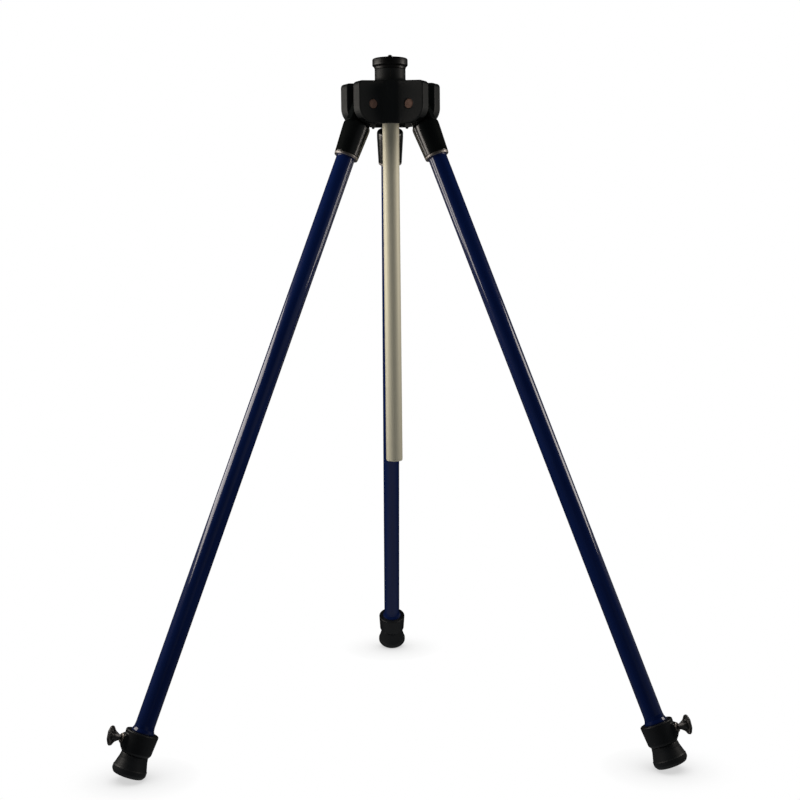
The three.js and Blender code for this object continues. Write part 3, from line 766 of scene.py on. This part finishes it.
FOOT = [
    # sole with ring grooves
    (0, -932.6, 0), (5.0, -932.6, 0.2), (5.4, -933.2, 0.2), (8.6, -933.2, 0.2),
    (9.1, -931.9, 0.3), (10.7, -931.9, 0.3), (11.2, -933.2, 0.2), (14.0, -933.2, 0.2),
    (14.4, -932.1, 0.3), (15.7, -932.1, 0.3), (16.2, -933.2, 0.3), (19.4, -933.2, 3.4),
    # outside, then the socket for the inner tube
    (22.3, -928.6, 3.6), (22.25, -923.4, 0.7), (21.5, -922.2, 0.7), (18.6, -912.0, 6.0),
    (17.5, -905.4, 0.9), (12.2, -905.4, 0.5), (11.05, -906.4, 0.3), (11.05, -926.3, 0),
    (0, -926.3, 0)]
PIN_END = [       # upper end of the pin, from the axis outwards and back to the shank
    (0, 24.6, 0), (1.6, 24.6, 0.3), (2.0, 25.0, 0.3), (4.6, 25.1, 0.8), (6.2, 24.7, 0.5),
    (6.2, 22.4, 0), (4.0, 22.4, 0)]
PIVOT_PIN = [(radius, -z, fillet) for radius, z, fillet in PIN_END] + PIN_END[::-1]
WASHER = [(4.3, -0.5, 0.1), (9.5, -0.5, 0.2), (9.5, 0.5, 0.2), (4.3, 0.5, 0.1)]


def knuckle_field(x, y, z):
    """Round-ended tongue on the pivot above a barrel that takes the outer tube."""
    shape = np.maximum(np.abs(x) - TONGUE_R, np.maximum(z, -34.0 - z))
    shape = np.minimum(np.hypot(x, z) - TONGUE_R, shape)
    tongue = rounded_extrude(shape, np.abs(y) - TONGUE_HALF, 1.3)
    radius = np.hypot(x, y)
    barrel = polygon(radius, z, rounded(KNUCKLE_BARREL, arc_steps=6))
    body = smooth_min(tongue, barrel, 3.0)
    body = cut(body, np.maximum(radius - SOCKET_R, z + 33.9), 0.4)
    return cut(body, np.hypot(x, z) - PIN_HOLE_R, 0.5)


def collar_field(x, y, z):
    """Collar at the lower end of the outer tube, with the clamp boss towards +X."""
    radius = np.hypot(x, y)
    from_screw = z - LEG_CLAMP_Z
    ring = polygon(radius, z, rounded(COLLAR, arc_steps=6))
    boss = polygon(x, from_screw, rounded(COLLAR_BOSS, arc_steps=6))
    body = smooth_min(ring, rounded_extrude(boss, np.abs(y) - 6.9, 2.6), 2.2)
    body = cut(body, np.maximum(radius - SOCKET_R, -897.4 - z), 0.5)
    body = cut(body, radius - 11.1, 0.4)
    return cut(body, np.maximum(np.hypot(y, from_screw) - CLAMP_HOLE_R, 5.0 - x), 0.4)


knuckle = surface("knuckle", knuckle_field, low=(-20.2, -20.2, -74.7), high=(20.2, 20.2, 17.0),
                  cell=0.6)
collar = surface("clamp_collar", collar_field, low=(-23.2, -23.2, -906.4),
                 high=(26.6, 23.2, -875.2), cell=0.55)
wing_screw = wing_screw_mesh("wing_screw", INNER_R, face=BOSS_FACE)
ferrule = lathe("leg_ferrule", FERRULE, segments=128, closed=True)
outer_tube = lathe("outer_tube", OUTER_TUBE, segments=128, closed=True)
inner_tube = lathe("inner_tube", INNER_TUBE, closed=True)
guide_cap = lathe("guide_cap", GUIDE_CAP)
foot = lathe("foot", FOOT, segments=128, arc_steps=4)
clamp_insert = clamp_insert_mesh("clamp_insert", start=13.8, face=BOSS_FACE)
clamp_pad = clamp_pad_mesh("clamp_pad", INNER_R)
pivot_pin = lathe("pivot_pin", PIVOT_PIN, segments=64)
pivot_washer = lathe("pivot_washer", WASHER, segments=64, closed=True)

WASHER_Y = (TONGUE_HALF + SLOT_HALF) / 2      # midway between tongue and slot wall
for side in LEG_AZIMUTH:
    bearing = bearing_matrix(side)
    leg = bearing @ Matrix.Rotation(-LEG_SPLAY, 4, "Y")
    clamp = leg @ Matrix.Translation((0, 0, LEG_CLAMP_Z * MM))
    place("pivot_pin_" + side, pivot_pin, bearing @ Z_TO_Y)
    for letter, offset in (("a", WASHER_Y), ("b", -WASHER_Y)):
        place(f"pivot_washer_{side}_{letter}", pivot_washer,
              bearing @ Matrix.Translation((0, offset * MM, 0)) @ Z_TO_Y)
    place("knuckle_" + side, knuckle, leg)
    place("leg_ferrule_" + side, ferrule, leg)
    place("outer_tube_" + side, outer_tube, leg)
    place("clamp_collar_" + side, collar, leg)
    place("inner_tube_" + side, inner_tube, leg)
    place("guide_cap_" + side, guide_cap, leg)
    place("foot_" + side, foot, leg)
    place("clamp_insert_" + side, clamp_insert, clamp @ Z_TO_X)
    place("clamp_pad_" + side, clamp_pad, clamp @ Z_TO_X)
    wing_turn = Matrix.Rotation(math.radians(WING_TURN[side]), 4, "X")
    place("wing_screw_" + side, wing_screw, clamp @ wing_turn)


# ------------------------------------------------------------------ floor
def floor_material():
    """Clear, but darkened near contacts for camera rays that meet its upper face: a painted contact
    shadow, taken from ambient occlusion.
    """
    material = bpy.data.materials.new("pale_floor")
    n = Nodes(material)
    occlusion = n.node("ShaderNodeAmbientOcclusion", {"Distance": 0.07}, samples=12)
    shade = n.ramp(occlusion.outputs["AO"], span=(0.35, 1.0), to=(0.62, 1.0))
    camera_ray = n.node("ShaderNodeLightPath").outputs["Is Camera Ray"]
    backfacing = n.node("ShaderNodeNewGeometry").outputs["Backfacing"]
    seen_from_above = n.math("SUBTRACT", camera_ray, backfacing, use_clamp=True)
    colour = n.mix(seen_from_above, (1, 1, 1), shade)
    clear = n.node("ShaderNodeBsdfTransparent", {"Color": colour})
    n.node("ShaderNodeOutputMaterial", {"Surface": clear.outputs["BSDF"]})
    return material


FLOOR_Z = CAD_BOUNDS[0][2] - 0.0004           # metres, just under the feet
FLOOR_HALF = 6.0
floor_mesh = bpy.data.meshes.new("floor")
floor_corners = [(FLOOR_HALF * x, FLOOR_HALF * y, FLOOR_Z)
                 for x, y in ((-1, -1), (1, -1), (1, 1), (-1, 1))]
floor_mesh.from_pydata(floor_corners, [], [(0, 1, 2, 3)])
floor = bpy.data.objects.new("floor", floor_mesh)
bpy.context.scene.collection.objects.link(floor)
floor_mesh.materials.append(floor_material())


# ------------------------------------------------------------------ world
def studio_world():
    """White to the camera, a dim studio to other rays."""
    world = bpy.data.worlds.new("studio")
    bpy.context.scene.world = world
    n = Nodes(world)
    rays = n.node("ShaderNodeLightPath")
    direction = n.node("ShaderNodeTexCoord").outputs["Generated"]
    axes = n.node("ShaderNodeSeparateXYZ", {0: direction})
    x, z = axes.outputs["X"], axes.outputs["Z"]

    def smooth(value, span, to):
        return n.ramp(value, span, to, shape="SMOOTHSTEP")

    # Reflections: a glow from below, and a low band brighter to +X than to -X.
    below = smooth(z, span=(-0.85, -0.35), to=(0.16, 0.007))
    right_side = smooth(n.times(x, gain=1.0), span=(-0.2, 0.95), to=(0.0, 0.12))
    left_side = smooth(x, span=(0.2, -0.95), to=(0.0, 0.03))
    band_centre = 0.10
    from_band = n.math("ABSOLUTE", n.math("SUBTRACT", z, band_centre))
    band = n.times(n.plus(right_side, left_side), smooth(from_band, span=(0.05, 0.26), to=(1, 0)))
    reflected = n.plus(below, band)
    diffuse = smooth(z, span=(-0.9, 0.1), to=(0.50, 0.03))
    # Inputs 2 and 3 of a Mix node are its float ones.
    strength = n.node("ShaderNodeMix", {0: rays.outputs["Is Diffuse Ray"], 2: reflected,
                                        3: diffuse}, data_type="FLOAT").outputs[0]
    studio = n.node("ShaderNodeBackground", {"Color": (0.97, 0.985, 1.0), "Strength": strength})
    white = n.node("ShaderNodeBackground", {"Color": (1, 1, 1), "Strength": 1.0})
    mixed = n.node("ShaderNodeMixShader", {0: rays.outputs["Is Camera Ray"],
                                           1: studio.outputs[0], 2: white.outputs[0]})
    n.node("ShaderNodeOutputWorld", {"Surface": mixed.outputs[0]})


studio_world()


# ------------------------------------------------------------------ lights
def softbox(name, location, target, width, height, power, colour=(1.0, 0.93, 0.85)):
    light = bpy.data.lights.new(name, "AREA")
    light.shape = "RECTANGLE"
    light.size, light.size_y = width, height
    light.energy = power
    light.color = colour
    box = bpy.data.objects.new(name, light)
    bpy.context.scene.collection.objects.link(box)
    box.location = location
    box.rotation_mode = "QUATERNION"
    aim = Vector(target) - Vector(location)
    box.rotation_quaternion = aim.to_track_quat("-Z", "Y")
    box.visible_camera = False
    return box


softbox("box_left", location=(-1.05, 0.0, -0.10), target=(0, 0.0, -0.10),
        width=0.90, height=0.56, power=8.2)
softbox("box_right", location=(1.05, -0.02, -0.10), target=(0, -0.02, -0.10),
        width=0.46, height=0.56, power=4.2)
top = softbox("box_top", location=(-0.5, -1.0, 1.5), target=(0, 0, -0.4),
              width=1.4, height=1.0, power=5.0, colour=(1.0, 0.96, 0.92))
top.visible_glossy = False

# ------------------------------------------------------------------ camera
CAMERA_DISTANCE, CAMERA_Z = 1876.2, -295.9    # mm
LENS, SENSOR_WIDTH = 60.606, 36.0             # mm
# Radians: tilt down, yaw towards +X, roll, and swing about the column from -Y towards -X.
TILT, YAW, ROLL, ORBIT = 0.0944, 0.0046, -0.0110, 0.0198

forward = Vector((math.sin(YAW) * math.cos(TILT), math.cos(YAW) * math.cos(TILT),
                  -math.sin(TILT)))
level_right = Vector((math.cos(YAW), -math.sin(YAW), 0))
level_up = level_right.cross(forward)
orbit = Matrix.Rotation(-ORBIT, 3, "Z")
right = orbit @ (level_right * math.cos(ROLL) + level_up * math.sin(ROLL))
up = orbit @ (level_right * -math.sin(ROLL) + level_up * math.cos(ROLL))
axes = Matrix((right, up, -(orbit @ forward))).transposed()
position = orbit @ Vector((0, -CAMERA_DISTANCE * MM, CAMERA_Z * MM))

lens = bpy.data.cameras.new("camera")
lens.sensor_width = SENSOR_WIDTH
lens.lens = LENS
lens.clip_start, lens.clip_end = 0.05, 50.0
camera = bpy.data.objects.new("camera", lens)
scene = bpy.context.scene
scene.collection.objects.link(camera)
camera.matrix_world = Matrix.Translation(position) @ axes.to_4x4()
scene.camera = camera
scene.view_settings.view_transform = "Standard"
scene.view_settings.look = "None"
